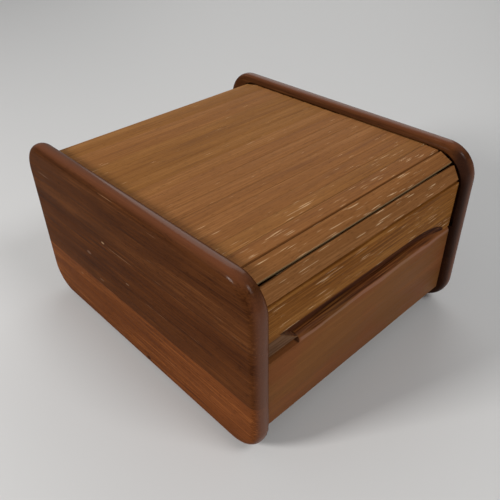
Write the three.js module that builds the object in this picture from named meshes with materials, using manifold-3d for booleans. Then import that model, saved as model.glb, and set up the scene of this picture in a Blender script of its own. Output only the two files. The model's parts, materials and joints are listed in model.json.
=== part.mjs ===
// Small teak roll-top box: two side panels carry a routed track, and a tambour of narrow slats on
// canvas slides in it, from the front panel over the top and down behind a false back.
// Millimetres. X runs along the slats, Y from front to back, Z up; the origin is on the table top,
// below the middle of the box.
import * as THREE from 'three';
import { mergeVertices } from 'three/addons/utils/BufferGeometryUtils.js';
import Module from 'manifold-3d';

const wasm = await Module();
wasm.setup();

// --- driving dimensions -------------------------------------------------------------------------
const caseWidth = 265;
const caseDepth = 300;
const caseHeight = 166.2;

const fitGap = 0.3;
const boardJoint = 0.3;

const panelThickness = 16.2;
const panelCorner = 29;
const panelRound = 7;

const glideHeight = 1.5;
const glideRadius = 4.5;
const glideFromEnd = 45;

const frontInset = 7.4;
const frontThickness = 12;
const frontBottom = 22.5;
const frontTop = 92.6;
const frontRound = 6;
const notchWidth = 34;
const notchDepth = 6;
const dowelRadius = 4;
const dowelBite = 9;
const dowelReach = 18;

const bottomThickness = 4.5;
const bottomRise = 0;
const cleatSize = 10;
const falseBackThickness = 6;
const falseBackGap = 0.34; // from the false back to the end of the track's tail
const falseBackTop = 138;
const backInset = 5.5;
const backThickness = 3;
const backGroove = 5;
const railThickness = 7;
const railBottom = 128;
const railTop = 141;
const railRound = 2.5;

const slatCount = 21;
const slatThickness = 4;
const slatGap = 0.3;
const slatChamfer = 0.5;
const slatEndGap = 1.3;
const tongueLength = 5;
const tongueThickness = 2.2;
const slidingSlats = [4, 10];
const travelSlats = 8;

const trackInset = 6.3;
const trackCorner = 29;
const trackDepth = 5.4;
const trackSlack = 0.6;
const rearCorner = 24;
const rearInset = 16.9;
const tailCurve = 90;
const tailDrop = 7;
const tailSpare = 3;

const leadHingeAngle = 15.7;
const leadLean = 1;
const leadThickness = 11;
const leadNeck = 7;
const leadGap = 0.8;
const scoopTop = 108;
const scoopDepth = 6.5;
const scoopLeft = 11.5;
const scoopLeftFoot = 31;
const scoopRight = 8;
const scoopRunOut = 50;

const canvasThickness = 0.8;
const canvasMargin = 20;
const canvasTrim = 0.6;

// --- places worked out from them ----------------------------------------------------------------
const halfWidth = caseWidth / 2;
const halfDepth = caseDepth / 2;
const innerX = halfWidth - panelThickness;
const panelBottom = glideHeight + fitGap;
const panelHeight = caseHeight - panelBottom;
const frontFace = -halfDepth + frontInset;
const frontBack = frontFace + frontThickness;
const boardHalf = innerX - boardJoint;
const bottomTop = frontBottom + bottomRise + bottomThickness;
const backFace = halfDepth - backInset;
const backFront = backFace - backThickness;
const rad = THREE.MathUtils.degToRad;

// --- materials ----------------------------------------------------------------------------------
const wood = (color, roughness = 0.45) => () =>
  new THREE.MeshStandardMaterial({ color, roughness, metalness: 0 });
const sideTeak = wood(0x6b3a22, 0.35);
const frontTeak = wood(0x7d4a2b, 0.45);
const slatTeak = wood(0x8c5c34, 0.55);
const plywood = wood(0x9b7a52, 0.7);
const dowelWood = wood(0xb08a5c, 0.7);
const canvasCloth = wood(0x8b7a5e, 0.95);
const nylon = wood(0x2b2522, 0.6);

// --- helpers ------------------------------------------------------------------------------------
const root = new THREE.Group();
const acrossX = new THREE.Matrix4().makeBasis(
  new THREE.Vector3(0, 1, 0), new THREE.Vector3(0, 0, 1), new THREE.Vector3(1, 0, 0));

// A shape drawn in Y and Z, pulled along X from one value to another.
function pulledAcross(shape, fromX, toX, steps = 8) {
  const options = { depth: toX - fromX, bevelEnabled: false, curveSegments: steps };
  return new THREE.ExtrudeGeometry(shape, options).applyMatrix4(acrossX).translate(fromX, 0, 0);
}

function block(fromX, toX, fromY, toY, fromZ, toZ) {
  const box = new THREE.BoxGeometry(toX - fromX, toY - fromY, toZ - fromZ);
  return box.translate((fromX + toX) / 2, (fromY + toY) / 2, (fromZ + toZ) / 2);
}

function solid(geometry) {
  const bare = geometry.clone();
  bare.deleteAttribute('normal');
  bare.deleteAttribute('uv');
  const merged = mergeVertices(bare, 1e-4);
  return new wasm.Manifold(new wasm.Mesh({
    numProp: 3,
    vertProperties: new Float32Array(merged.attributes.position.array),
    triVerts: new Uint32Array(merged.index.array),
  }));
}

function cut(body, ...cutters) {
  const result = cutters.reduce((left, cutter) => left.subtract(solid(cutter)), solid(body));
  const mesh = result.getMesh();
  const geometry = new THREE.BufferGeometry();
  geometry.setAttribute('position', new THREE.BufferAttribute(mesh.vertProperties, mesh.numProp));
  geometry.setIndex(new THREE.BufferAttribute(mesh.triVerts, 1));
  return geometry;
}

function piece(name, geometry, material, parent = root) {
  const mesh = new THREE.Mesh(geometry, material());
  mesh.name = name;
  parent.add(mesh);
  return mesh;
}

function roundedRectangle(fromY, toY, fromZ, toZ, radius) {
  const shape = new THREE.Shape();
  shape.moveTo(fromY + radius, fromZ);
  shape.lineTo(toY - radius, fromZ);
  shape.absarc(toY - radius, fromZ + radius, radius, -Math.PI / 2, 0);
  shape.lineTo(toY, toZ - radius);
  shape.absarc(toY - radius, toZ - radius, radius, 0, Math.PI / 2);
  shape.lineTo(fromY + radius, toZ);
  shape.absarc(fromY + radius, toZ - radius, radius, Math.PI / 2, Math.PI);
  shape.lineTo(fromY, fromZ + radius);
  shape.absarc(fromY + radius, fromZ + radius, radius, Math.PI, Math.PI * 1.5);
  return shape;
}

// --- the track ----------------------------------------------------------------------------------
// The canvas runs on this line, on the inner face of the slats; offset moves it outwards.
const canvasTop = caseHeight - trackInset - slatThickness;
const frontCentre = new THREE.Vector2(
  -halfDepth + trackInset + trackCorner, caseHeight - trackInset - trackCorner);
const rearCentre = new THREE.Vector2(
  halfDepth - rearInset - rearCorner, caseHeight - trackInset - rearCorner);
const tailCentre = new THREE.Vector2(
  rearCentre.x + rearCorner - slatThickness - tailCurve, rearCentre.y);

// The track from a height on the front panel to an angle on its tail behind the false back.
function track(offset, fromZ, tailEnd) {
  const path = new THREE.Path();
  const cornerRadius = trackCorner - slatThickness + offset;
  path.moveTo(frontCentre.x - cornerRadius, fromZ);
  path.absarc(frontCentre.x, frontCentre.y, cornerRadius, Math.PI, Math.PI / 2, true);
  path.absarc(rearCentre.x, rearCentre.y, rearCorner - slatThickness + offset, Math.PI / 2, 0, true);
  path.absarc(tailCentre.x, tailCentre.y, tailCurve + offset, 0, tailEnd, true);
  return path;
}

// Hinge places on the canvas: each is one pitch, straight, from the one before. The line goes on
// straight past the tail, so that a long pitch can be tried too.
const canvasPath = track(0, frontTop, -Math.PI / 2);
canvasPath.lineTo(tailCentre.x - caseDepth, tailCentre.y - tailCurve);
const canvasLine = canvasPath.getSpacedPoints(6000);

function walk(pitch, steps) {
  const angle = Math.PI - rad(leadHingeAngle);
  const start = new THREE.Vector2(Math.cos(angle), Math.sin(angle));
  const places = [start.multiplyScalar(trackCorner - slatThickness).add(frontCentre)];
  let next = canvasLine.findIndex((point) => point.y > places[0].y);
  while (places.length <= steps) {
    const here = places[places.length - 1];
    while (canvasLine[next].distanceTo(here) < pitch) next += 1;
    const before = canvasLine[next - 1];
    const share = (pitch - before.distanceTo(here)) / before.distanceTo(canvasLine[next]);
    places.push(before.clone().lerp(canvasLine[next], share));
  }
  return places;
}

// The pitch that puts the last slat's end a little below the rear corner.
function fittingPitch() {
  const wanted = rearCentre.y - tailDrop;
  let low = 0.5 * (caseDepth / slatCount);
  let high = 1.5 * (caseDepth / slatCount);
  for (let k = 0; k < 40; k += 1) {
    const middle = (low + high) / 2;
    const last = walk(middle, slatCount)[slatCount];
    const past = last.x > 0 && last.y < wanted;
    if (past) high = middle;
    else low = middle;
  }
  return low;
}

const pitch = fittingPitch();
const hinges = walk(pitch, slatCount + travelSlats);
const tailPoint = hinges[slatCount + travelSlats].clone().sub(tailCentre);
const trackEnd = tailPoint.angle() - 2 * Math.PI - tailSpare / tailCurve;

// --- case ---------------------------------------------------------------------------------------
function trackCutter(side) {
  const foot = frontTop - fitGap;
  const outer = track(slatThickness + trackSlack, foot, trackEnd).getPoints(6);
  const inner = track(-canvasThickness - trackSlack, foot, trackEnd).getPoints(6).reverse();
  const shape = new THREE.Shape([...outer, ...inner]);
  const near = innerX - 1;
  const far = innerX + trackDepth;
  return side < 0 ? pulledAcross(shape, -far, -near) : pulledAcross(shape, near, far);
}

// The thin back panel stands in this groove, below the rail.
function backGrooveCutter(side) {
  const near = side * (innerX - 1);
  const far = side * (innerX + backGroove);
  return block(Math.min(near, far), Math.max(near, far), backFront - boardJoint,
    backFace + boardJoint, frontBottom - boardJoint, railBottom);
}

function sidePanel(side) {
  const outline = roundedRectangle(-halfDepth, halfDepth, 0, panelHeight, panelCorner);
  const blank = new THREE.ExtrudeGeometry(outline, {
    depth: panelThickness - 2 * panelRound,
    bevelThickness: panelRound,
    bevelSize: panelRound,
    bevelOffset: -panelRound,
    bevelSegments: 4,
    curveSegments: 9,
  });
  blank.applyMatrix4(acrossX);
  const middleX = side * (innerX + panelThickness / 2);
  blank.translate(middleX - panelThickness / 2 + panelRound, 0, panelBottom);
  const holes = dowelPlaces.map((z) => dowelShape(side, z, dowelRadius + boardJoint, fitGap));
  return cut(blank, trackCutter(side), backGrooveCutter(side), ...holes);
}

// Dowels stand across the joint between a side panel and the front panel.
const dowelPlaces = [frontBottom + 18, frontTop - 18];

function dowelShape(side, z, radius, extra = 0) {
  const length = dowelBite + dowelReach + 2 * extra;
  const pin = new THREE.CylinderGeometry(radius, radius, length, 16).rotateZ(Math.PI / 2);
  const middle = side * (innerX + (dowelBite - dowelReach) / 2);
  return pin.translate(middle, (frontFace + frontBack) / 2, z);
}

function frontPanel() {
  const shape = new THREE.Shape();
  shape.moveTo(frontFace, frontBottom);
  shape.lineTo(frontBack, frontBottom);
  shape.lineTo(frontBack, frontTop);
  shape.lineTo(frontFace + frontRound, frontTop);
  shape.absarc(frontFace + frontRound, frontTop - frontRound, frontRound, Math.PI / 2, Math.PI);
  const board = pulledAcross(shape, -boardHalf, boardHalf);
  const notch = new THREE.Shape();
  const notchEnd = -boardHalf + notchWidth - notchDepth / 2;
  notch.moveTo(-innerX - 1, frontTop - notchDepth);
  notch.lineTo(notchEnd, frontTop - notchDepth);
  notch.absarc(notchEnd, frontTop - notchDepth / 2, notchDepth / 2, -Math.PI / 2, Math.PI / 4);
  notch.lineTo(notchEnd, frontTop + 1);
  notch.lineTo(-innerX - 1, frontTop + 1);
  const depth = frontThickness + 2;
  const cutter = new THREE.ExtrudeGeometry(notch, { depth, bevelEnabled: false, curveSegments: 8 });
  cutter.rotateX(Math.PI / 2).translate(0, frontBack + 1, 0);
  const holes = [];
  for (const side of [-1, 1]) {
    for (const z of dowelPlaces) holes.push(dowelShape(side, z, dowelRadius + boardJoint, fitGap));
  }
  return cut(board, cutter, ...holes);
}

piece('left_side_panel', sidePanel(-1), sideTeak);
piece('right_side_panel', sidePanel(1), sideTeak);
piece('front_panel', frontPanel(), frontTeak);

for (const [sideName, side] of [['left', -1], ['right', 1]]) {
  dowelPlaces.forEach((z, k) => {
    piece(`front_dowel_${sideName}_${k + 1}`, dowelShape(side, z, dowelRadius), dowelWood);
  });
  const edge = side * boardHalf;
  const inner = side * (boardHalf - cleatSize);
  const cleatBack = backFront - boardJoint;
  const cleatTop = bottomTop - bottomThickness - boardJoint;
  piece(`${sideName}_cleat`, block(Math.min(edge, inner), Math.max(edge, inner),
    frontBack + boardJoint, cleatBack, cleatTop - cleatSize, cleatTop), dowelWood);
  for (const [endName, end] of [['front', -1], ['rear', 1]]) {
    const disc = new THREE.CylinderGeometry(glideRadius, glideRadius - 0.6, glideHeight, 20);
    const glide = piece(`glide_${endName}_${sideName}`, disc.rotateX(Math.PI / 2), nylon);
    glide.position.set(side * (innerX + panelThickness / 2),
      end * (halfDepth - glideFromEnd), glideHeight / 2);
  }
}

const trackEndY = tailCentre.x + tailCurve * Math.cos(trackEnd);
const falseBackY = trackEndY - falseBackGap - falseBackThickness;
piece('bottom_board', block(-boardHalf, boardHalf, frontBack + boardJoint, backFront - boardJoint,
  bottomTop - bottomThickness, bottomTop), plywood);
piece('false_back', block(-boardHalf, boardHalf, falseBackY, falseBackY + falseBackThickness,
  bottomTop + boardJoint, falseBackTop), plywood);
const backHalf = innerX + backGroove - boardJoint;
piece('back_panel', block(-backHalf, backHalf, backFront, backFace, frontBottom,
  railBottom - boardJoint), frontTeak);

function backRail() {
  const shape = new THREE.Shape();
  shape.moveTo(backFace - railThickness, railBottom);
  shape.lineTo(backFace, railBottom);
  shape.lineTo(backFace, railTop - railRound);
  shape.absarc(backFace - railRound, railTop - railRound, railRound, 0, Math.PI / 2);
  shape.lineTo(backFace - railThickness, railTop);
  return pulledAcross(shape, -boardHalf, boardHalf, 4);
}

piece('back_rail', backRail(), frontTeak);

// --- tambour ------------------------------------------------------------------------------------
const slatHalf = innerX - slatEndGap;

function slatProfile() {
  const half = (pitch - slatGap) / 2;
  const shape = new THREE.Shape();
  shape.moveTo(-half, 0);
  shape.lineTo(half, 0);
  shape.lineTo(half, slatThickness - slatChamfer);
  shape.lineTo(half - slatChamfer, slatThickness);
  shape.lineTo(-half + slatChamfer, slatThickness);
  shape.lineTo(-half, slatThickness - slatChamfer);
  return shape;
}

// A slat that only slides keeps its thin tongues in the track; the others stop beside it.
function slat(withTongues) {
  const reach = withTongues ? slatHalf + tongueLength : slatHalf;
  const bar = pulledAcross(slatProfile(), -reach, reach);
  if (!withTongues) return bar;
  const over = (side) => block(side < 0 ? -reach - 1 : slatHalf, side < 0 ? -slatHalf : reach + 1,
    -pitch, pitch, tongueThickness, slatThickness + 1);
  return cut(bar, over(-1), over(1));
}

const tilt = (from, to) => Math.atan2(to.y - from.y, to.x - from.x);
const twoDigits = (number) => String(number).padStart(2, '0');

for (let k = 1; k <= slatCount; k += 1) {
  const from = hinges[k - 1];
  const to = hinges[k];
  const slides = k >= slidingSlats[0] && k <= slidingSlats[1];
  const mesh = piece(`slat_${twoDigits(k)}`, slat(slides), slatTeak);
  mesh.position.set(0, (from.x + to.x) / 2, (from.y + to.y) / 2);
  mesh.rotation.x = tilt(from, to);
}

// The lead bar hangs from the first hinge; its own Y runs down towards the front panel.
const leadLength = (hinges[0].y - frontTop - leadGap) / Math.cos(rad(leadLean));

function leadBar() {
  const shape = new THREE.Shape();
  const inside = slatThickness - leadThickness;
  const shoulder = leadNeck + leadThickness - slatThickness;
  shape.moveTo(-leadLength, inside);
  shape.lineTo(-shoulder, inside);
  shape.lineTo(-leadNeck, 0);
  shape.lineTo(-slatGap / 2, 0);
  shape.lineTo(-slatGap / 2, slatThickness - slatChamfer);
  shape.lineTo(-slatGap / 2 - slatChamfer, slatThickness);
  shape.lineTo(-leadLength + slatChamfer, slatThickness);
  shape.lineTo(-leadLength, slatThickness - slatChamfer);
  return cut(pulledAcross(shape, -slatHalf, slatHalf), scoopCutter());
}

// A long cove that leaves the lower edge open: it ends steeply on the left, along a slanted line,
// and runs out gently on the right.
function scoopCutter() {
  const height = scoopTop - frontTop;
  const radius = (height * height + scoopDepth * scoopDepth) / (2 * scoopDepth);
  const left = -slatHalf + scoopLeft;
  const foot = -slatHalf + scoopLeftFoot;
  const right = slatHalf - scoopRight;
  const profile = [new THREE.Vector2(0, left - 2), new THREE.Vector2(radius, left - 2)];
  for (let k = 8; k >= 0; k -= 1) {
    const deep = scoopDepth * Math.sin((Math.PI * k) / 16);
    profile.push(new THREE.Vector2(radius - scoopDepth + deep, right - (scoopRunOut * k) / 8));
  }
  profile.push(new THREE.Vector2(0, right));
  const cove = new THREE.LatheGeometry(profile, 48).rotateZ(-Math.PI / 2);
  const slant = (foot - left) / height;
  const kept = new THREE.Shape();
  kept.moveTo(left - 20, -2);
  kept.lineTo(foot + 2 * slant, -2);
  kept.lineTo(left - 2 * slant, height + 2);
  kept.lineTo(left - 20, height + 2);
  const wedge = new THREE.ExtrudeGeometry(kept, { depth: 4 * radius, bevelEnabled: false });
  const end = wedge.translate(0, 0, -2 * radius);
  return cut(cove, end).translate(0, -leadLength, slatThickness + radius - scoopDepth);
}

const lead = piece('lead_bar', leadBar(), slatTeak);
lead.position.set(0, hinges[0].x, hinges[0].y);
lead.rotation.x = Math.PI / 2 + rad(leadLean);

// Canvas strips: one behind the slats that only slide, one behind each slat that turns.
const runs = [slidingSlats];
for (let k = 1; k <= slatCount; k += 1) {
  if (k < slidingSlats[0] || k > slidingSlats[1]) runs.push([k, k]);
}
for (const [first, last] of runs) {
  const from = hinges[first - 1];
  const to = hinges[last];
  const length = from.distanceTo(to) - 2 * canvasTrim;
  const strip = block(-slatHalf + canvasMargin, slatHalf - canvasMargin, -length / 2, length / 2,
    -fitGap - canvasThickness, -fitGap);
  const mesh = piece(`canvas_${twoDigits(first)}_${twoDigits(last)}`, strip, canvasCloth);
  mesh.position.set(0, (from.x + to.x) / 2, (from.y + to.y) / 2);
  mesh.rotation.x = tilt(from, to);
}

export default root;
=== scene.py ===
# Small teak roll-top box: its finished wood pieces, canvas, boards, light and camera.
import json
import math
import bpy
import bmesh
from mathutils import Matrix, Vector


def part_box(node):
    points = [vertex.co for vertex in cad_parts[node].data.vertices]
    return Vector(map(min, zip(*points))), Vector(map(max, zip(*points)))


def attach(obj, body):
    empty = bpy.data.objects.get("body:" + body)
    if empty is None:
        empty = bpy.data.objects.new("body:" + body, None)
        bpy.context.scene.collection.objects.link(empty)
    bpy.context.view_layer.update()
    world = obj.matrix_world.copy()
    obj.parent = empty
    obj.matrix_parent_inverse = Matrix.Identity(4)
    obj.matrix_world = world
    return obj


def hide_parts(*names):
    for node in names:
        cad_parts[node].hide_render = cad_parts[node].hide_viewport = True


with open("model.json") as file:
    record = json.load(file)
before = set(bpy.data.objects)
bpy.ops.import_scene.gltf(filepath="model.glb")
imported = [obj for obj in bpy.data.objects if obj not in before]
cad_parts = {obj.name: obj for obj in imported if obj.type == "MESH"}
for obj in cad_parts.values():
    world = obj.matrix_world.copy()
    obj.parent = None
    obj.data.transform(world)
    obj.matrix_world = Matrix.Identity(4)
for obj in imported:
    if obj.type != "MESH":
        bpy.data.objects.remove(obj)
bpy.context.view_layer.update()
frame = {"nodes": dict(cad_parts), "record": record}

mm = 0.001
slatThickness = 4 * mm
barLean = math.radians(1.0)          # the lead bar leans, its top further out
print("stage: frame loaded,", len(frame["nodes"]), "CAD nodes")


def newPiece(name, verts, faces):
    mesh = bpy.data.meshes.new(name)
    mesh.from_pydata([Vector(v) for v in verts], [], faces)
    mesh.update()
    thing = bpy.data.objects.new(name, mesh)
    bpy.context.scene.collection.objects.link(thing)
    return thing


def faceOutward(thing):
    work = bmesh.new()
    work.from_mesh(thing.data)
    bmesh.ops.remove_doubles(work, verts=work.verts, dist=1e-7)
    bmesh.ops.recalc_face_normals(work, faces=work.faces)
    work.to_mesh(thing.data)
    work.free()


def bake(thing):                     # the modifiers become part of the mesh
    bpy.context.view_layer.update()
    seen = thing.evaluated_get(bpy.context.evaluated_depsgraph_get())
    made = bpy.data.meshes.new_from_object(seen)
    old = thing.data
    thing.modifiers.clear()
    thing.data = made
    bpy.data.meshes.remove(old)
    return thing


def skinned(name, rings):            # a skin over rings of points, closed flat at both ends
    count = len(rings[0])
    verts = [point for ring in rings for point in ring]
    faces = []
    for k in range(len(rings) - 1):
        for i in range(count):
            j = (i + 1) % count
            faces.append((k * count + i, k * count + j, (k + 1) * count + j, (k + 1) * count + i))
    last = (len(rings) - 1) * count
    faces += [tuple(range(count)), tuple(last + i for i in reversed(range(count)))]
    thing = newPiece(name, verts, faces)
    faceOutward(thing)
    return thing


def pullAcross(name, outline, fromX, toX):     # outline is (y, z); the piece runs along X
    return skinned(name, [[(x, y, z) for y, z in outline] for x in (fromX, toX)])


def cutAway(thing, cutters):
    for cutter in cutters:
        modifier = thing.modifiers.new("cut", "BOOLEAN")
        modifier.operation = "DIFFERENCE"
        modifier.solver = "EXACT"
        modifier.object = cutter
        bake(thing)
        bpy.data.objects.remove(cutter)
    return thing


def soften(thing, width, segments=2, angle=35):
    modifier = thing.modifiers.new("soften", "BEVEL")
    modifier.width = width
    modifier.segments = segments
    modifier.limit_method = "ANGLE"
    modifier.angle_limit = math.radians(angle)
    modifier.use_clamp_overlap = True
    return bake(thing)


def arc(centreY, centreZ, radius, start, end, steps):
    turn = [math.radians(start + (end - start) * k / steps) for k in range(steps + 1)]
    return [(centreY + radius * math.cos(a), centreZ + radius * math.sin(a)) for a in turn]


def finished(thing, body, material, replaces=(), smoothAngle=32):
    thing.data.materials.clear()
    thing.data.materials.append(material)
    for face in thing.data.polygons:
        face.use_smooth = True
        face.material_index = 0
    thing.data.set_sharp_from_angle(angle=math.radians(smoothAngle))
    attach(thing, body)
    if replaces:
        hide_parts(*replaces)
    return thing


class finishNodes:                   # a material and short ways to add nodes to it
    def __init__(self, name):
        self.material = bpy.data.materials.new(name)
        self.material.use_nodes = True
        self.tree = self.material.node_tree
        self.shader = self.tree.nodes["Principled BSDF"]
        self.place = self.add("ShaderNodeTexCoord").outputs["Object"]

    def add(self, kind, **values):
        node = self.tree.nodes.new(kind)
        for key, value in values.items():
            setattr(node, key, value)
        return node

    def link(self, start, end):
        self.tree.links.new(start, end)

    def number(self, operation, a, b=None, clamp=False):
        node = self.add("ShaderNodeMath", operation=operation, use_clamp=clamp)
        for socket, value in zip(node.inputs, (a, b)):
            if value is None:
                continue
            if hasattr(value, "links"):
                self.link(value, socket)
            else:
                socket.default_value = value
        return node.outputs[0]

    def stretched(self, scale, offset=(0, 0, 0)):
        node = self.add("ShaderNodeMapping")
        node.inputs["Scale"].default_value = scale
        node.inputs["Location"].default_value = offset
        self.link(self.place, node.inputs["Vector"])
        return node.outputs[0]

    # scale is the number of features per metre along X, Y and Z
    def noise(self, scale, detail=2.0, rough=0.5, offset=(0, 0, 0), distortion=0.0, extra=None):
        node = self.add("ShaderNodeTexNoise")
        node.inputs["Scale"].default_value = 1.0
        node.inputs["Detail"].default_value = detail
        node.inputs["Roughness"].default_value = rough
        node.inputs["Distortion"].default_value = distortion
        vector = self.stretched(scale, offset)
        if extra is not None:
            add = self.add("ShaderNodeVectorMath", operation="ADD")
            self.link(vector, add.inputs[0])
            self.link(extra, add.inputs[1])
            vector = add.outputs[0]
        self.link(vector, node.inputs["Vector"])
        return node.outputs["Fac"]

    def ramp(self, value, stops):
        node = self.add("ShaderNodeValToRGB")
        node.color_ramp.interpolation = "EASE"
        steps = node.color_ramp.elements
        while len(steps) < len(stops):
            steps.new(0.5)
        for step, (where, colour) in zip(steps, stops):
            step.position = where
            step.color = (*colour, 1)
        self.link(value, node.inputs["Fac"])
        return node.outputs["Color"]

    def between(self, value, low, high, toLow=0.0, toHigh=1.0):
        node = self.add("ShaderNodeMapRange", interpolation_type="SMOOTHSTEP")
        for socket, number in zip(list(node.inputs)[1:5], (low, high, toLow, toHigh)):
            socket.default_value = number
        self.link(value, node.inputs["Value"])
        return node.outputs["Result"]

    def mix(self, share, a, b, kind="MIX"):
        node = self.add("ShaderNodeMix", data_type="RGBA", blend_type=kind)
        sockets = (node.inputs[0], node.inputs[6], node.inputs[7])     # factor, then the two colours
        for socket, value in zip(sockets, (share, a, b)):
            if hasattr(value, "links"):
                self.link(value, socket)
            elif socket.type == "VALUE":
                socket.default_value = value
            else:
                socket.default_value = (*value, 1)
        return node.outputs[2]

    def times(self, a, b):
        return self.number("MULTIPLY", a, b)

    def plus(self, a, b):
        return self.number("ADD", a, b)

    def minus(self, a, b):
        return self.number("SUBTRACT", a, b)

    def tinted(self, colour, tint):
        return self.mix(1.0, colour, tint, "MULTIPLY")

    def relief(self, height, strength, distance):
        node = self.add("ShaderNodeBump")
        node.inputs["Strength"].default_value = strength
        node.inputs["Distance"].default_value = distance
        self.link(height, node.inputs["Height"])
        self.link(node.outputs[0], self.shader.inputs["Normal"])

    def axis(self, letter):
        node = self.add("ShaderNodeSeparateXYZ")
        self.link(self.place, node.inputs[0])
        return node.outputs[letter]


teakLook = {
    "streaksPerMetre": 760,          # fine light and dark streaks across the grain
    "streakLength": 0.075,
    "bandLength": 0.30,              # broad bands of colour
    "ringsPerBand": 9.0,             # thin dark growth lines that follow the bands
    "poresPerMetre": 1500,
    "poreLength": 0.006,
    "flecksPerMetre": 1250,          # pale chips where the finish is gone
    "fleckLength": 0.022,
    "fleckColour": (0.74, 0.52, 0.31),
    "slatTint": (1.0, 0.93, 1.22),   # some slats are a little pinker
    # pale colour of the slats' sawn edge walls: bare wood with a painted highlight
    "bareAndLitColour": (0.36, 0.28, 0.15),
    "reliefDepth": 0.0004,
}


# along is the grain's axis; colours are dark, middle and light
def teak(name, along, colours, seed, bands=55, bandShare=0.5, streakShare=0.5, pores=0.4, lines=0.3,
         flecks=None, extras=None, roughness=0.5, shine=0.3, perSlat=False):
    n = finishNodes(name)
    run = "XYZ".index(along)

    def grained(across, length):
        scale = [across, across, across]
        scale[run] = 1.0 / length
        return tuple(scale)

    look = teakLook
    shift = (seed * 3.1, seed * 5.7, seed * 2.3)
    tone, extra = None, None
    if perSlat:
        tone = n.add("ShaderNodeAttribute", attribute_name="slatTone").outputs["Fac"]
        combine = n.add("ShaderNodeCombineXYZ")
        n.link(n.times(tone, 40.0), combine.inputs[0])
        n.link(n.times(tone, 23.0), combine.inputs[1])
        extra = combine.outputs[0]
    broad = n.noise(grained(bands, look["bandLength"]), 3, 0.55, shift, 0.5, extra)
    fine = n.noise(grained(look["streaksPerMetre"], look["streakLength"]), 3, 0.6, shift, 0.2, extra)
    dark, middle, light = colours
    value = n.plus(n.times(n.minus(broad, 0.5), bandShare), n.times(n.minus(fine, 0.5), streakShare))
    value = n.plus(value, 0.5)
    if perSlat:
        value = n.plus(value, n.times(n.minus(tone, 0.5), 0.07))
    colour = n.ramp(value, [(0.34, dark), (0.50, middle), (0.66, light)])
    if perSlat:
        pink = n.between(n.number("FRACT", n.times(tone, 7.3)), 0.25, 0.85)
        colour = n.mix(n.times(pink, 0.5), colour, n.tinted(colour, look["slatTint"]))
    rings = n.number("FRACT", n.times(broad, look["ringsPerBand"]))
    line = n.times(n.between(rings, 0.0, 0.14, 1.0, 0.0), n.between(fine, 0.40, 0.60))
    colour = n.mix(n.times(line, lines), colour, tuple(c * 0.5 for c in dark))
    pore = n.noise(grained(look["poresPerMetre"], look["poreLength"]), 1, 0.5, shift)
    pore = n.between(pore, 0.60, 0.72)
    colour = n.mix(n.times(pore, pores), colour, tuple(c * 0.45 for c in dark))
    rough = n.between(fine, 0.3, 0.7, roughness - 0.07, roughness + 0.09)
    if extras:
        colour = extras(n, colour)
    # painted highlight: the sawn edge walls are painted pale, bare wood where a wall catches the light
    if perSlat:
        bareAndPaintedLight = n.add("ShaderNodeAttribute", attribute_name="bareAndLitWall").outputs["Fac"]
        colour = n.mix(n.times(bareAndPaintedLight, 0.8), colour, look["bareAndLitColour"])
    if flecks:
        fleck = n.noise(grained(look["flecksPerMetre"], look["fleckLength"]), 1, 0.5, (seed, 9.0, 4.0))
        clump = n.noise(grained(60, 0.06), 2, 0.5, (seed, 2.0, 7.0))
        level = n.plus(fleck, n.times(flecks(n), n.times(clump, 0.185)))
        worn = n.between(level, 0.765, 0.825)
        colour = n.mix(n.times(worn, 0.8), colour, look["fleckColour"])
        rough = n.plus(rough, n.times(worn, 0.2))
    n.link(colour, n.shader.inputs["Base Color"])
    n.link(rough, n.shader.inputs["Roughness"])
    n.relief(n.minus(n.times(fine, 0.6), n.times(pore, 0.8)), 0.15, look["reliefDepth"])
    n.shader.inputs["Specular IOR Level"].default_value = shine
    n.shader.inputs["IOR"].default_value = 1.45
    return n.material


def frontWear(n):                    # most flecks lie near the front edge of the top
    return n.between(n.axis("Y"), -0.150, -0.01, 1.0, 0.12)


sideLook = {
    "joints": ((0.1125, (1.10, 1.08, 1.05)), (0.0590, (1.70, 1.60, 1.50))),     # height, tint below it
    "seamColour": (0.030, 0.012, 0.006),
    "mottleTint": (0.72, 0.72, 0.80),
    "edgeColour": (0.155, 0.048, 0.018),
    "innerShadeColour": (0.018, 0.008, 0.006),
    "scratchColour": (0.36, 0.22, 0.13),
    "marks": (                       # y, z, half length, half height, colour, strength
        (0.030, 0.1120, 0.0025, 0.0011, (0.34, 0.22, 0.12), 0.7),
        (0.006, 0.1105, 0.0210, 0.0004, (0.30, 0.18, 0.10), 0.35),
        (0.060, 0.0870, 0.0040, 0.0018, (0.20, 0.12, 0.08), 0.4),
        (0.001, 0.0850, 0.0030, 0.0007, (0.28, 0.18, 0.11), 0.4),
        (0.046, 0.0640, 0.0040, 0.0006, (0.26, 0.16, 0.10), 0.4),
        (0.085, 0.0500, 0.0020, 0.0010, (0.24, 0.14, 0.08), 0.4),
        (-0.014, 0.0110, 0.0034, 0.0022, (0.020, 0.008, 0.004), 0.85),
    ),
}


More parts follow.
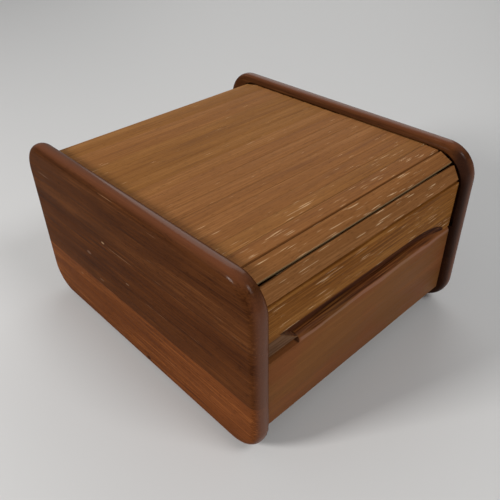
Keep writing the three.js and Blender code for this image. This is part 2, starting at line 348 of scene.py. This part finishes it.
# three boards glued edge to edge, each its own brown; the edges are rubbed brighter and glossier
def sideBoards(n, colour):
    height, depth = n.axis("Z"), n.axis("Y")
    for joint, tint in sideLook["joints"]:
        wavy = n.plus(height, n.times(n.noise((3, 5, 3), 1), 0.0012))
        below = n.between(wavy, joint + 0.0003, joint + 0.0009, 1.0, 0.0)
        colour = n.mix(below, colour, n.tinted(colour, tint))
        near = n.number("ABSOLUTE", n.minus(wavy, joint + 0.0006))
        seam = n.between(near, 0.0002, 0.0008, 1.0, 0.0)
        colour = n.mix(n.times(seam, 0.5), colour, sideLook["seamColour"])
    colour = n.tinted(colour, n.between(depth, -0.150, 0.060, 1.32, 0.97))      # paler towards the front
    mottle = n.between(n.noise((45, 22, 45), 3, 0.6, (4.0, 1.0, 8.0)), 0.42, 0.66, 0.0, 0.35)
    colour = n.mix(mottle, colour, n.tinted(colour, sideLook["mottleTint"]))
    # the bullnose all round, away from the flat faces
    across = n.number("ABSOLUTE", n.axis("X"))
    flat = n.between(n.number("ABSOLUTE", n.minus(across, 0.1244)), 0.003, 0.0078)
    farthest = n.number("MAXIMUM", n.number("ABSOLUTE", depth), n.plus(height, -0.018))
    rim = n.between(n.number("MAXIMUM", farthest, 0.0), 0.138, 0.150)
    edge = n.times(rim, n.minus(1.0, flat))
    colour = n.mix(n.times(edge, 0.65), colour, sideLook["edgeColour"])
    # painted shade: the right panel's inner face is painted darker at its front
    inner = n.times(n.between(n.axis("X"), 0.1190, 0.1245, 1.0, 0.0), n.between(n.axis("X"), 0.1, 0.11))
    front = n.times(inner, n.between(depth, -0.138, -0.128, 1.0, 0.0))
    colour = n.mix(n.times(front, 0.8), colour, sideLook["innerShadeColour"])
    scratch = n.between(n.noise((900, 12, 900), 2, 0.55, (6.0, 3.0, 1.0)), 0.68, 0.74)
    patchy = n.between(n.noise((30, 30, 30), 1, 0.5, (9.0, 9.0, 2.0)), 0.55, 0.66)
    colour = n.mix(n.times(n.times(scratch, patchy), 0.35), colour, sideLook["scratchColour"])
    left = n.number("LESS_THAN", n.axis("X"), 0.0)
    for markY, markZ, long, tall, tint, strength in sideLook["marks"]:
        away = n.plus(n.number("POWER", n.number("DIVIDE", n.minus(depth, markY), long), 2.0),
                      n.number("POWER", n.number("DIVIDE", n.minus(height, markZ), tall), 2.0))
        mark = n.times(n.between(away, 0.35, 1.0, 1.0, 0.0), n.times(left, strength))
        colour = n.mix(mark, colour, tint)
    n.link(n.times(edge, 0.55), n.shader.inputs["Coat Weight"])
    n.shader.inputs["Coat Roughness"].default_value = 0.16
    return colour


barLow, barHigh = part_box("lead_bar")


def intoBar(n):                      # distance in from the lead bar's sloping face
    drop = n.times(n.minus(barHigh.z, n.axis("Z")), math.tan(barLean))
    return n.minus(n.minus(n.axis("Y"), barLow.y), drop)


def scooped(n, colour):              # bare wood inside the finger scoop, painted dark as painted shade
    # painted shade: the inside of the scoop is painted in dark streaky browns
    inside = n.between(n.axis("Z"), 0.1075, 0.1083, 1.0, 0.0)
    inside = n.times(n.between(intoBar(n), 0.00008, 0.0005), inside)
    bareAndPaintedLight = n.ramp(n.noise((18, 500, 500), 3, 0.6, (1.0, 5.0, 2.0)),
                  [(0.36, (0.035, 0.011, 0.005)), (0.50, (0.075, 0.023, 0.009)),
                   (0.66, (0.16, 0.052, 0.018))])
    colour = n.mix(inside, colour, bareAndPaintedLight)
    # the bar's lower left corner, beside the scoop's slanted end, is painted a smooth, darker grey-brown
    slant = n.plus(n.axis("X"), n.times(n.minus(n.axis("Z"), barLow.z), 1.27))
    corner = n.times(n.between(slant, -0.0850, -0.0835, 1.0, 0.0),
                     n.between(n.axis("Z"), 0.1058, 0.1068, 1.0, 0.0))
    smooth = n.ramp(n.noise((30, 400, 400), 3, 0.6, (8.0, 5.0, 2.0)),
                    [(0.36, (0.095, 0.044, 0.022)), (0.64, (0.165, 0.088, 0.048))])
    return n.mix(n.times(corner, 0.9), colour, smooth)


# dark streaky wood along the top edge under the finger scoop, painted shade, and a pale line below it, a
# painted highlight
def topEdgeShadingAndPatches(n, colour):
    height, across = n.axis("Z"), n.axis("X")
    ragged = n.times(n.minus(n.noise((22, 300, 300), 3, 0.6, (2.0, 4.0, 1.0)), 0.5), 0.006)
    level = n.plus(height, ragged)
    reach = n.times(n.between(across, -0.086, -0.080), n.between(across, 0.070, 0.112, 1.0, 0.0))
    # painted shade: the top edge under the finger scoop is painted in dark streaky browns
    underBarShade = n.times(n.between(level, 0.0896, 0.0916), reach)
    shadeStreaks = n.ramp(n.noise((16, 700, 700), 3, 0.6, (3.0, 5.0, 6.0)),
                   [(0.38, (0.040, 0.012, 0.004)), (0.52, (0.105, 0.036, 0.010)),
                    (0.66, (0.21, 0.080, 0.020))])
    colour = n.mix(n.times(underBarShade, 0.92), colour, shadeStreaks)
    # painted highlight: a pale line along the nose of the top edge
    noseHighlight = n.times(n.between(level, 0.0862, 0.0880), n.between(level, 0.0892, 0.0904, 1.0, 0.0))
    noseHighlight = n.times(noseHighlight, n.between(across, -0.084, -0.078))
    colour = n.mix(n.times(noseHighlight, 0.3), colour, (0.42, 0.27, 0.19))
    # painted shade: the notch's round end is painted nearly black
    notch = n.times(n.between(across, -0.0860, -0.0838), n.between(across, -0.0832, -0.0815, 1.0, 0.0))
    notch = n.times(notch, n.between(height, 0.0866, 0.0874))
    colour = n.mix(n.times(notch, 0.85), colour, (0.03, 0.012, 0.006))
    patches = n.between(n.noise((14, 14, 24), 3, 0.55, (7.0, 2.0, 3.0), 0.6), 0.42, 0.62, 0.0, 0.6)
    return n.mix(patches, colour, n.tinted(colour, (1.06, 0.86, 0.98)))


def onFace(n):                       # flecks on the lead bar's face, but not inside its scoop
    face = n.between(intoBar(n), 0.0001, 0.0004, 1.0, -1.2)
    corner = n.times(n.between(n.axis("X"), -0.088, -0.084, 1.0, 0.0),
                     n.between(n.axis("Z"), 0.1058, 0.1068, 1.0, 0.0))
    return n.minus(face, n.times(corner, 2.2))


sideTeak = teak("varnishedTeak", "Y",
                ((0.030, 0.0090, 0.0026), (0.053, 0.0170, 0.0048), (0.088, 0.0310, 0.0095)), 1.0,
                bands=42, bandShare=0.45, streakShare=0.6, pores=0.5, extras=sideBoards, shine=0.015)
slatTeak = teak("openGrainTeak", "X", ((0.175, 0.070, 0.019), (0.243, 0.103, 0.028), (0.318, 0.146, 0.045)),
                2.0, bands=75, bandShare=0.36, streakShare=0.62, flecks=frontWear, roughness=0.62, shine=0.06,
                perSlat=True)
# the lead bar: worn pale flecks, and painted shade inside its scoop
leadTeak = teak("wornAndShadedTeak", "X", ((0.150, 0.052, 0.010), (0.250, 0.094, 0.018), (0.34, 0.148, 0.036)),
                3.0, bands=150, bandShare=0.6, streakShare=0.95, pores=0.5, lines=0.6, flecks=onFace,
                extras=scooped, roughness=0.6, shine=0.06)
frontTeak = teak("frontTeak", "X", ((0.180, 0.071, 0.022), (0.213, 0.085, 0.026), (0.255, 0.106, 0.035)),
                 4.0, bands=50, pores=0.3, lines=0.2, shine=0.06, extras=topEdgeShadingAndPatches)
rearTeak = teak("rearTeak", "X", ((0.150, 0.060, 0.020), (0.200, 0.084, 0.029), (0.250, 0.110, 0.040)),
                7.0, bands=45, bandShare=0.6, streakShare=0.7, roughness=0.55, shine=0.1)
plainBeech = teak("plainBeech", "Y", ((0.16, 0.080, 0.034), (0.23, 0.125, 0.058), (0.30, 0.175, 0.088)),
                  5.0, bands=60, roughness=0.6, shine=0.2)
plyFace = teak("plyFace", "X", ((0.26, 0.15, 0.07), (0.38, 0.24, 0.12), (0.47, 0.32, 0.18)),
               6.0, bands=35, roughness=0.62, shine=0.2)


def cottonCanvas():
    n = finishNodes("cottonCanvas")
    turns = 950 * 2 * math.pi        # threads per metre, each way
    warp = n.number("SINE", n.times(n.axis("X"), turns))
    weft = n.number("SINE", n.times(n.plus(n.axis("Y"), n.axis("Z")), turns))
    weave = n.times(warp, weft)
    shade = n.plus(n.times(weave, 0.12), n.noise((180, 180, 180), 3, 0.6))
    cloth = n.ramp(shade, [(0.3, (0.24, 0.19, 0.12)), (0.7, (0.36, 0.30, 0.20))])
    n.link(cloth, n.shader.inputs["Base Color"])
    n.shader.inputs["Roughness"].default_value = 0.95
    n.relief(weave, 0.4, 0.0002)
    return n.material


def mouldedGlide():
    n = finishNodes("mouldedGlide")
    tone = n.noise((900, 900, 900), 3, 0.6)
    plastic = n.ramp(tone, [(0.3, (0.012, 0.010, 0.009)), (0.7, (0.03, 0.026, 0.022))])
    n.link(plastic, n.shader.inputs["Base Color"])
    n.link(n.between(tone, 0.3, 0.7, 0.45, 0.62), n.shader.inputs["Roughness"])
    return n.material


canvasCloth = cottonCanvas()
glideNylon = mouldedGlide()
print("stage: finishes made")

sidePanel = {
    "corner": 29 * mm,
    "bullnose": 7.6 * mm,
    "cornerSteps": 22,
    "noseSteps": 10,
    "grooveDepth": 5.4 * mm,
    "slotClear": 0.3 * mm,           # round the back panel, and below the groove's open end
    "overcut": 1 * mm,
}

track = {
    "inset": 6.3 * mm,
    "corner": 29 * mm,
    "above": 0.6 * mm,               # room over and under a slat
    "below": 1.4 * mm,
    "rearCorner": 24 * mm,
    "rearInset": 16.9 * mm,
    "tailRadius": 90 * mm,
    "tailTurn": 73,                  # degrees
}


# the slats' inner face from front to tail as (y, z), moved outwards by offset
def trackLine(offset, low, high, foot, top):
    inner = track["corner"] - slatThickness + offset
    frontY, frontZ = low + track["inset"] + track["corner"], top - track["inset"] - track["corner"]
    rear = track["rearCorner"]
    rearY, rearZ = high - track["rearInset"] - rear, top - track["inset"] - rear
    tailY = rearY + rear - slatThickness - track["tailRadius"]
    line = [(frontY - inner, foot)]
    line += arc(frontY, frontZ, inner, 180, 90, 24)
    line += arc(rearY, rearZ, rear - slatThickness + offset, 90, 0, 20)
    line += arc(tailY, rearZ, track["tailRadius"] + offset, 0, -track["tailTurn"], 30)[1:]
    return line


def makeSidePanel(node, name, side):
    low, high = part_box(node)
    nose, corner = sidePanel["bullnose"], sidePanel["corner"]
    edge = []                        # corner centres and outward directions
    nearY, farY, footZ, topZ = low.y + corner, high.y - corner, low.z + corner, high.z - corner
    corners = ((farY, topZ, 0), (nearY, topZ, 90), (nearY, footZ, 180), (farY, footZ, 270))
    for centreY, centreZ, start in corners:
        for k in range(sidePanel["cornerSteps"] + 1):
            a = math.radians(start + 90 * k / sidePanel["cornerSteps"])
            edge.append((centreY, centreZ, math.cos(a), math.sin(a)))
    turns = [math.pi / 2 * k / sidePanel["noseSteps"] for k in range(sidePanel["noseSteps"] + 1)]
    profile = [(low.x + nose * (1 - math.cos(a)), nose * (1 - math.sin(a))) for a in turns]
    profile += [(high.x + low.x - x, inset) for x, inset in reversed(profile)]
    rings = [[(x, cy + ny * (corner - inset), cz + nz * (corner - inset)) for cy, cz, ny, nz in edge]
             for x, inset in profile]
    panel = skinned(name, rings)
    inner = high.x if side < 0 else low.x
    near, far = sorted((inner - side * sidePanel["overcut"], inner + side * sidePanel["grooveDepth"]))
    clear = sidePanel["slotClear"]
    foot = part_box("front_panel")[1].z - clear
    outer = trackLine(slatThickness + track["above"], low.y, high.y, foot, high.z)
    inside = trackLine(-track["below"], low.y, high.y, foot, high.z)
    groove = pullAcross("groove", outer + inside[::-1], near, far)
    backLow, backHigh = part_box("back_panel")
    fromY, toY = backLow.y - clear, backHigh.y + clear
    fromZ, toZ = backLow.z - clear, backHigh.z + clear
    slotCut = pullAcross("backSlot", [(fromY, fromZ), (toY, fromZ), (toY, toZ), (fromY, toZ)], near, far)
    cutAway(panel, [groove, slotCut])
    return finished(panel, "case", sideTeak, [node])


makeSidePanel("left_side_panel", "leftSidePanel", -1)
makeSidePanel("right_side_panel", "rightSidePanel", 1)
print("stage: side panels made")

frontBoard = {
    "noseRadius": 6 * mm,
    "notchWidth": 34 * mm,
    "notchDepth": 6 * mm,
    "overcut": 2 * mm,
    "edge": 0.5 * mm,
}


def makeFrontPanel():
    low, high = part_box("front_panel")
    r = frontBoard["noseRadius"]
    outline = [(low.y, low.z), (high.y, low.z), (high.y, high.z)]
    outline += arc(low.y + r, high.z - r, r, 90, 180, 14)
    board = pullAcross("frontBoard", outline, low.x, high.x)
    depth = frontBoard["notchDepth"]
    over = frontBoard["overcut"]
    end = low.x + frontBoard["notchWidth"] - depth / 2
    line = [(low.x - over, high.z - depth)]
    line += arc(end, high.z - depth / 2, depth / 2, -90, 60, 12)
    line += [(end + 1.2 * mm, high.z + over), (low.x - over, high.z + over)]
    notch = skinned("notch", [[(x, y, z) for x, z in line] for y in (low.y - over, high.y + over)])
    cutAway(board, [notch])
    soften(board, frontBoard["edge"])
    return finished(board, "case", frontTeak, ["front_panel"])


makeFrontPanel()

leadBar = {
    "scoopTop": 108 * mm,
    "scoopDepth": 6.5 * mm,
    "scoopTip": 11.5 * mm,           # from the bar's left end, at the scoop's upper edge
    "scoopFoot": 31 * mm,            # the same at the bar's lower edge
    "scoopRight": 8 * mm,
    "runOut": 50 * mm,
    "neck": 7 * mm,                  # thinned at the top, as thick as a slat
    "overcut": 2 * mm,
    "edge": 0.45 * mm,
}


def makeLeadBar():
    low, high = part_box("lead_bar")
    down = Vector((0, math.sin(barLean), -math.cos(barLean)))
    out = Vector((0, -math.cos(barLean), -math.sin(barLean)))
    points = [v.co for v in frame["nodes"]["lead_bar"].data.vertices]
    face = max(p.dot(out) for p in points)
    bottom = max(p.dot(down) for p in points)
    length = bottom - min(p.dot(down) for p in points)
    thick = face - min(p.dot(out) for p in points)

    def place(up, inward):           # from the bar's bottom and from its face
        point = down * (bottom - up) + out * (face - inward)
        return (point.y, point.z)

    neck = leadBar["neck"]
    shoulder = neck + thick - slatThickness
    outline = [place(0, 0), place(length, 0), place(length, slatThickness),
               place(length - neck, slatThickness), place(length - shoulder, thick), place(0, thick)]
    bar = pullAcross("leadBar", outline, low.x, high.x)
    depth, over = leadBar["scoopDepth"], leadBar["overcut"]
    height = leadBar["scoopTop"] - low.z
    radius = (height ** 2 + depth ** 2) / (2 * depth)
    left, foot = low.x + leadBar["scoopTip"], low.x + leadBar["scoopFoot"]
    right = high.x - leadBar["scoopRight"]
    # a drum that shrinks to the right, so that the scoop runs out into the face
    rows, around = 36, 96
    rings = []
    for k in range(rows + 1):
        share = k / rows
        x = right - leadBar["runOut"] * share if k < rows else left - over
        r = radius - depth + depth * math.sin(math.pi / 2 * share)
        turns = [2 * math.pi * i / around for i in range(around)]
        rings.append([(x, *place(r * math.cos(a), -(radius - depth) + r * math.sin(a))) for a in turns])
    scoop = skinned("scoop", rings)
    # its left end is cut on a slant
    slant = (foot - left) / height
    past = left - 10 * over
    corners = [(past, -over), (foot + over * slant, -over), (left - over * slant, height + over),
               (past, height + over)]
    wedge = skinned("scoopEnd", [[(x, *place(up, inward)) for x, up in corners]
                                 for inward in (-3 * radius, 3 * radius)])
    cutAway(scoop, [wedge])
    cutAway(bar, [scoop])
    soften(bar, leadBar["edge"], 3, 30)
    return finished(bar, "lead", leadTeak, ["lead_bar"])


makeLeadBar()
print("stage: front panel and lead bar made")

slatSizes = {
    "pitch": 13.983 * mm,
    "width": 13.86 * mm,             # nearly closed on the flat top
    "frontWidth": 13.70 * mm,        # the three that bend round the front corner
    "round": 0.35 * mm,
    "tongue": 5 * mm,                # only the slats that never bend have them
    "easeReach": 42 * mm,            # how far from each end a slat's edge pulls back
    "stations": 40,
}


def slatTree():
    tree = bpy.data.node_groups.new("slatRun", "GeometryNodeTree")
    ids = {}
    for name, kind, value in (("Count", "NodeSocketInt", 1), ("Pitch", "NodeSocketFloat", 0.014),
                              ("Width", "NodeSocketFloat", 0.0137), ("Thickness", "NodeSocketFloat", 0.004),
                              ("Length", "NodeSocketFloat", 0.23), ("Edge Round", "NodeSocketFloat", 0.0003),
                              ("Stations", "NodeSocketInt", 24), ("Front Ease", "NodeSocketFloat", 0.0),
                              ("Rear Ease", "NodeSocketFloat", 0.0), ("Ease Reach", "NodeSocketFloat", 0.03),
                              ("Bare And Lit Front", "NodeSocketFloat", 0.0), ("Bare And Lit Rear", "NodeSocketFloat", 0.0),
                              ("Tongue Length", "NodeSocketFloat", 0.0),
                              ("Tongue Share", "NodeSocketFloat", 0.55),
                              ("Seed", "NodeSocketInt", 1), ("Material", "NodeSocketMaterial", None)):
        socket = tree.interface.new_socket(name, in_out="INPUT", socket_type=kind)
        if value is not None:
            socket.default_value = value
        ids[name] = socket.identifier
    tree.interface.new_socket("Geometry", in_out="OUTPUT", socket_type="NodeSocketGeometry")
    add, link = tree.nodes.new, tree.links.new
    given = add("NodeGroupInput").outputs

    def maths(operation, a, b=None):
        node = add("ShaderNodeMath")
        node.operation = operation
        for socket, value in zip(node.inputs, (a, b)):
            if hasattr(value, "links"):
                link(value, socket)
            elif value is not None:
                socket.default_value = value
        return node.outputs[0]

    def point(x=0.0, y=0.0, z=0.0):
        node = add("ShaderNodeCombineXYZ")
        for socket, value in zip(node.inputs, (x, y, z)):
            if hasattr(value, "links"):
                link(value, socket)
            else:
                socket.default_value = value
        return node.outputs[0]

    half = maths("MULTIPLY", given["Length"], 0.5)
    line = add("GeometryNodeCurvePrimitiveLine")
    link(point(maths("MULTIPLY", half, -1.0)), line.inputs["Start"])
    link(point(half), line.inputs["End"])
    resample = add("GeometryNodeResampleCurve")
    link(line.outputs[0], resample.inputs["Curve"])
    link(given["Stations"], resample.inputs["Count"])
    section = add("GeometryNodeCurvePrimitiveQuadrilateral")
    link(given["Width"], section.inputs["Width"])
    link(given["Thickness"], section.inputs["Height"])
    fillet = add("GeometryNodeFilletCurve")
    fillet.mode = "POLY"
    link(section.outputs[0], fillet.inputs["Curve"])
    fillet.inputs["Count"].default_value = 3
    link(given["Edge Round"], fillet.inputs["Radius"])
    sweep = add("GeometryNodeCurveToMesh")
    sweep.inputs["Fill Caps"].default_value = True
    link(resample.outputs[0], sweep.inputs["Curve"])
    link(fillet.outputs[0], sweep.inputs["Profile Curve"])
    # the edges pull back a little towards the slat's ends
    separate = add("ShaderNodeSeparateXYZ")
    link(add("GeometryNodeInputPosition").outputs[0], separate.inputs[0])
    x, y = separate.outputs["X"], separate.outputs["Y"]
    near = add("ShaderNodeMapRange")
    near.interpolation_type = "SMOOTHSTEP"
    link(maths("ABSOLUTE", x), near.inputs["Value"])
    link(maths("SUBTRACT", half, given["Ease Reach"]), near.inputs["From Min"])
    link(half, near.inputs["From Max"])
    rear = maths("MULTIPLY", maths("GREATER_THAN", y, 0.0), given["Rear Ease"])
    front = maths("MULTIPLY", maths("LESS_THAN", y, 0.0), given["Front Ease"])
    move = maths("MULTIPLY", maths("SUBTRACT", front, rear), near.outputs["Result"])
    shift = add("GeometryNodeSetPosition")
    link(point(0.0, move, maths("MULTIPLY", given["Thickness"], 0.5)), shift.inputs["Offset"])
    # thin tongues at both ends, flush with the inner face, that run in the track
    normal = add("ShaderNodeSeparateXYZ")
    link(add("GeometryNodeInputNormal").outputs[0], normal.inputs[0])
    shoulder = add("GeometryNodeExtrudeMesh")
    link(shift.outputs[0], shoulder.inputs["Mesh"])
    link(maths("GREATER_THAN", maths("ABSOLUTE", normal.outputs["X"]), 0.9), shoulder.inputs["Selection"])
    shoulder.inputs["Offset Scale"].default_value = 0.0
    shoulder.inputs["Individual"].default_value = False
    place = add("ShaderNodeSeparateXYZ")
    link(add("GeometryNodeInputPosition").outputs[0], place.inputs[0])
    thinner = add("GeometryNodeSetPosition")
    link(shoulder.outputs["Mesh"], thinner.inputs["Geometry"])
    link(shoulder.outputs["Top"], thinner.inputs["Selection"])
    link(point(place.outputs["X"], maths("MULTIPLY", place.outputs["Y"], 0.98),
               maths("MULTIPLY", place.outputs["Z"], given["Tongue Share"])), thinner.inputs["Position"])
    tongue = add("GeometryNodeExtrudeMesh")
    link(thinner.outputs[0], tongue.inputs["Mesh"])
    link(shoulder.outputs["Top"], tongue.inputs["Selection"])
    link(given["Tongue Length"], tongue.inputs["Offset Scale"])
    tongue.inputs["Individual"].default_value = False
    ended = add("GeometryNodeSwitch")
    ended.input_type = "GEOMETRY"
    link(maths("GREATER_THAN", given["Tongue Length"], 0.0), ended.inputs["Switch"])
    link(shift.outputs[0], ended.inputs["False"])
    link(tongue.outputs["Mesh"], ended.inputs["True"])
    # the sawn edge walls are bare wood, painted pale as a painted highlight where they catch the light
    wall = add("ShaderNodeMapRange")
    link(maths("ABSOLUTE", y), wall.inputs["Value"])
    halfWidth = maths("MULTIPLY", given["Width"], 0.5)
    link(maths("SUBTRACT", halfWidth, given["Edge Round"]), wall.inputs["From Min"])
    link(halfWidth, wall.inputs["From Max"])
    bareAndPaintedLight = add("GeometryNodeStoreNamedAttribute")
    bareAndPaintedLight.inputs["Name"].default_value = "bareAndLitWall"
    link(sweep.outputs[0], bareAndPaintedLight.inputs["Geometry"])
    frontBareAndLit = maths("MULTIPLY", maths("LESS_THAN", y, 0.0), given["Bare And Lit Front"])
    rearBareAndLit = maths("MULTIPLY", maths("GREATER_THAN", y, 0.0), given["Bare And Lit Rear"])
    shown = maths("MULTIPLY", maths("ADD", frontBareAndLit, rearBareAndLit), wall.outputs["Result"])
    link(shown, next(t for t in bareAndPaintedLight.inputs if t.name == "Value" and t.enabled))
    link(bareAndPaintedLight.outputs[0], shift.inputs["Geometry"])
    rows = add("GeometryNodeMeshLine")
    link(given["Count"], rows.inputs["Count"])
    link(point(0.0, given["Pitch"]), rows.inputs["Offset"])
    start = add("GeometryNodeSetPosition")
    link(rows.outputs[0], start.inputs["Geometry"])
    back = maths("MULTIPLY", maths("MULTIPLY", maths("SUBTRACT", given["Count"], 1.0), given["Pitch"]), -0.5)
    link(point(0.0, back), start.inputs["Offset"])
    spread = add("GeometryNodeInstanceOnPoints")
    link(start.outputs[0], spread.inputs["Points"])
    link(ended.outputs[0], spread.inputs["Instance"])
    chance = add("FunctionNodeRandomValue")
    chance.data_type = "FLOAT"
    link(given["Seed"], chance.inputs["Seed"])
    store = add("GeometryNodeStoreNamedAttribute")
    store.domain = "INSTANCE"
    store.inputs["Name"].default_value = "slatTone"
    link(spread.outputs[0], store.inputs["Geometry"])
    link(next(s for s in chance.outputs if s.enabled), store.inputs["Value"])
    realize = add("GeometryNodeRealizeInstances")
    link(store.outputs[0], realize.inputs[0])
    finish = add("GeometryNodeSetMaterial")
    link(realize.outputs[0], finish.inputs["Geometry"])
    link(given["Material"], finish.inputs["Material"])
    link(finish.outputs[0], add("NodeGroupOutput").inputs[0])
    return tree, ids


slatRunTree, slatInputs = slatTree()


# middle of the inner face of a straight run of slats, and its turn about X
def slatPlace(first, last):
    def planes(node):
        points = [v.co.yz for v in frame["nodes"][node].data.vertices]
        middle = sum(points, Vector((0, 0))) / len(points)
        away = [p - middle for p in points]
        turn = 0.5 * math.atan2(2 * sum(d.x * d.y for d in away), sum(d.x * d.x - d.y * d.y for d in away))
        along = Vector((math.cos(turn), math.sin(turn)))
        out = Vector((-along.y, along.x))
        if out.dot(middle - Vector((0, 0.06))) < 0:
            along, out = -along, -out
        level = min(p.dot(out) for p in points)
        run = [p.dot(along) for p in points]
        return along, out, along * ((min(run) + max(run)) / 2) + out * level

    along, out, start = planes(first)
    end = planes(last)[2]
    middle = (start + end) / 2
    return Matrix.Translation((0, middle.x, middle.y)) @ Matrix.Rotation(math.atan2(along.y, along.x), 4, "X")


def makeSlats(name, numbers, body, seed, width, frontEase=0.0, rearEase=0.0, bareAndLitFront=0.15, bareAndLitRear=0.15,
              tongue=0.0):
    nodes = [f"slat_{k:02d}" for k in numbers]
    low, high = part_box("lead_bar")
    holder = newPiece(name, [(0, 0, 0)], [])
    modifier = holder.modifiers.new("slats", "NODES")
    modifier.node_group = slatRunTree
    values = {"Count": len(numbers), "Pitch": slatSizes["pitch"], "Width": width,
              "Thickness": slatThickness, "Length": high.x - low.x, "Edge Round": slatSizes["round"],
              "Stations": slatSizes["stations"], "Front Ease": frontEase, "Rear Ease": rearEase,
              "Ease Reach": slatSizes["easeReach"], "Bare And Lit Front": bareAndLitFront, "Bare And Lit Rear": bareAndLitRear,
              "Tongue Length": tongue, "Seed": seed, "Material": slatTeak}
    for label, value in values.items():
        modifier[slatInputs[label]] = value
    bake(holder)
    holder.data.transform(slatPlace(nodes[0], nodes[-1]))
    faceOutward(holder)
    return finished(holder, body, slatTeak, nodes)


bodyOf = {node: body for body, nodes in frame["record"]["behaviour"]["bodies"].items() for node in nodes}
# front ease, rear ease, bare and lit front and bare and lit rear (pale bare wood with a painted highlight) of
# the slats that bend round the front corner
special = {1: (0.0, 0.8 * mm, 0.0, 0.0), 2: (0.2 * mm, 0.0, 1.0, 0.0), 3: (0.0, 0.0, 0.0, 0.2)}
makeSlats("topSlats", range(4, 11), bodyOf["slat_04"], 11, slatSizes["width"], tongue=slatSizes["tongue"])
for number in (1, 2, 3, *range(11, 22)):
    width = slatSizes["frontWidth" if number < 4 else "width"]
    makeSlats(f"slat{number:02d}", [number], bodyOf[f"slat_{number:02d}"], 20 + number, width,
              *special.get(number, ()))
print("stage: slats made")

# these keep their own shape, with their own finish
plainFinish = {"canvas": canvasCloth, "glide": glideNylon, "bottom_board": plyFace, "false_back": plyFace,
               "back_panel": rearTeak, "left_cleat": plainBeech, "right_cleat": plainBeech,
               "front_dowel": plainBeech}
for node, thing in frame["nodes"].items():
    for start, material in plainFinish.items():
        if node.startswith(start):
            thing.data.materials.clear()
            thing.data.materials.append(material)


backRail = {"round": 2.5 * mm, "edge": 0.4 * mm}


def makeBackRail():
    low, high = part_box("back_rail")
    r = backRail["round"]
    outline = [(low.y, low.z), (high.y, low.z)] + arc(high.y - r, high.z - r, r, 0, 90, 8) + [(low.y, high.z)]
    rail = pullAcross("backRail", outline, low.x, high.x)
    soften(rail, backRail["edge"])
    return finished(rail, "case", rearTeak, ["back_rail"])


makeBackRail()
print("stage: kept parts and back rail finished")

room = {
    "floorColour": (0.62, 0.63, 0.645, 1),
    "floorReach": 6,                 # metres each way
    "skyColour": (1.0, 0.985, 0.96, 1),
    "skyStrength": 0.28,
    "aim": (0, 0, 0.08),             # what the lamps point at
}
floorMaterial = finishNodes("paleFloor")
floorMaterial.shader.inputs["Base Color"].default_value = room["floorColour"]
floorMaterial.shader.inputs["Roughness"].default_value = 0.6
r = room["floorReach"]
floor = newPiece("floor", [(-r, -r, 0), (r, -r, 0), (r, r, 0), (-r, r, 0)], [(0, 1, 2, 3)])
floor.data.materials.append(floorMaterial.material)

lamps = {
    "key": {"place": (-1.62, 0.51, 0.91), "size": 0.42, "power": 29, "colour": (1.0, 0.965, 0.92)},
    "rear": {"place": (1.35, 1.05, 1.15), "size": 1.6, "power": 9, "colour": (1.0, 0.98, 0.95)},
    "front": {"place": (0.23, -1.26, 1.60), "size": 0.6, "power": 12.5, "colour": (1.0, 0.985, 0.96)},
}
for name, lamp in lamps.items():
    light = bpy.data.lights.new(name, "AREA")
    light.size = lamp["size"]
    light.energy = lamp["power"]
    light.color = lamp["colour"]
    holder = bpy.data.objects.new(name, light)
    holder.location = lamp["place"]
    towards = Vector(room["aim"]) - Vector(lamp["place"])
    holder.rotation_euler = towards.to_track_quat("-Z", "Y").to_euler()
    bpy.context.scene.collection.objects.link(holder)

world = bpy.data.worlds.new("room")
world.use_nodes = True
sky = world.node_tree.nodes["Background"]
sky.inputs["Color"].default_value = room["skyColour"]
sky.inputs["Strength"].default_value = room["skyStrength"]
bpy.context.scene.world = world
bpy.context.scene.view_settings.view_transform = "Standard"

cameraSet = {
    "place": (-0.30378, -0.33271, 0.38028),
    "right": (0.7251219, -0.6883634, -0.0188163),
    "up": (0.4166356, 0.4168002, 0.8078938),
    "back": (-0.5482819, -0.5936610, 0.5890277),
    "lens": 41.16,                   # on a 36 mm sensor
}
camera = bpy.data.objects.new("camera", bpy.data.cameras.new("camera"))
camera.data.sensor_width = 36
camera.data.lens = cameraSet["lens"]
turn = Matrix([cameraSet["right"], cameraSet["up"], cameraSet["back"]]).transposed().to_4x4()
camera.matrix_world = Matrix.Translation(cameraSet["place"]) @ turn
bpy.context.scene.collection.objects.link(camera)
bpy.context.scene.camera = camera
print("stage: floor, light and camera set")
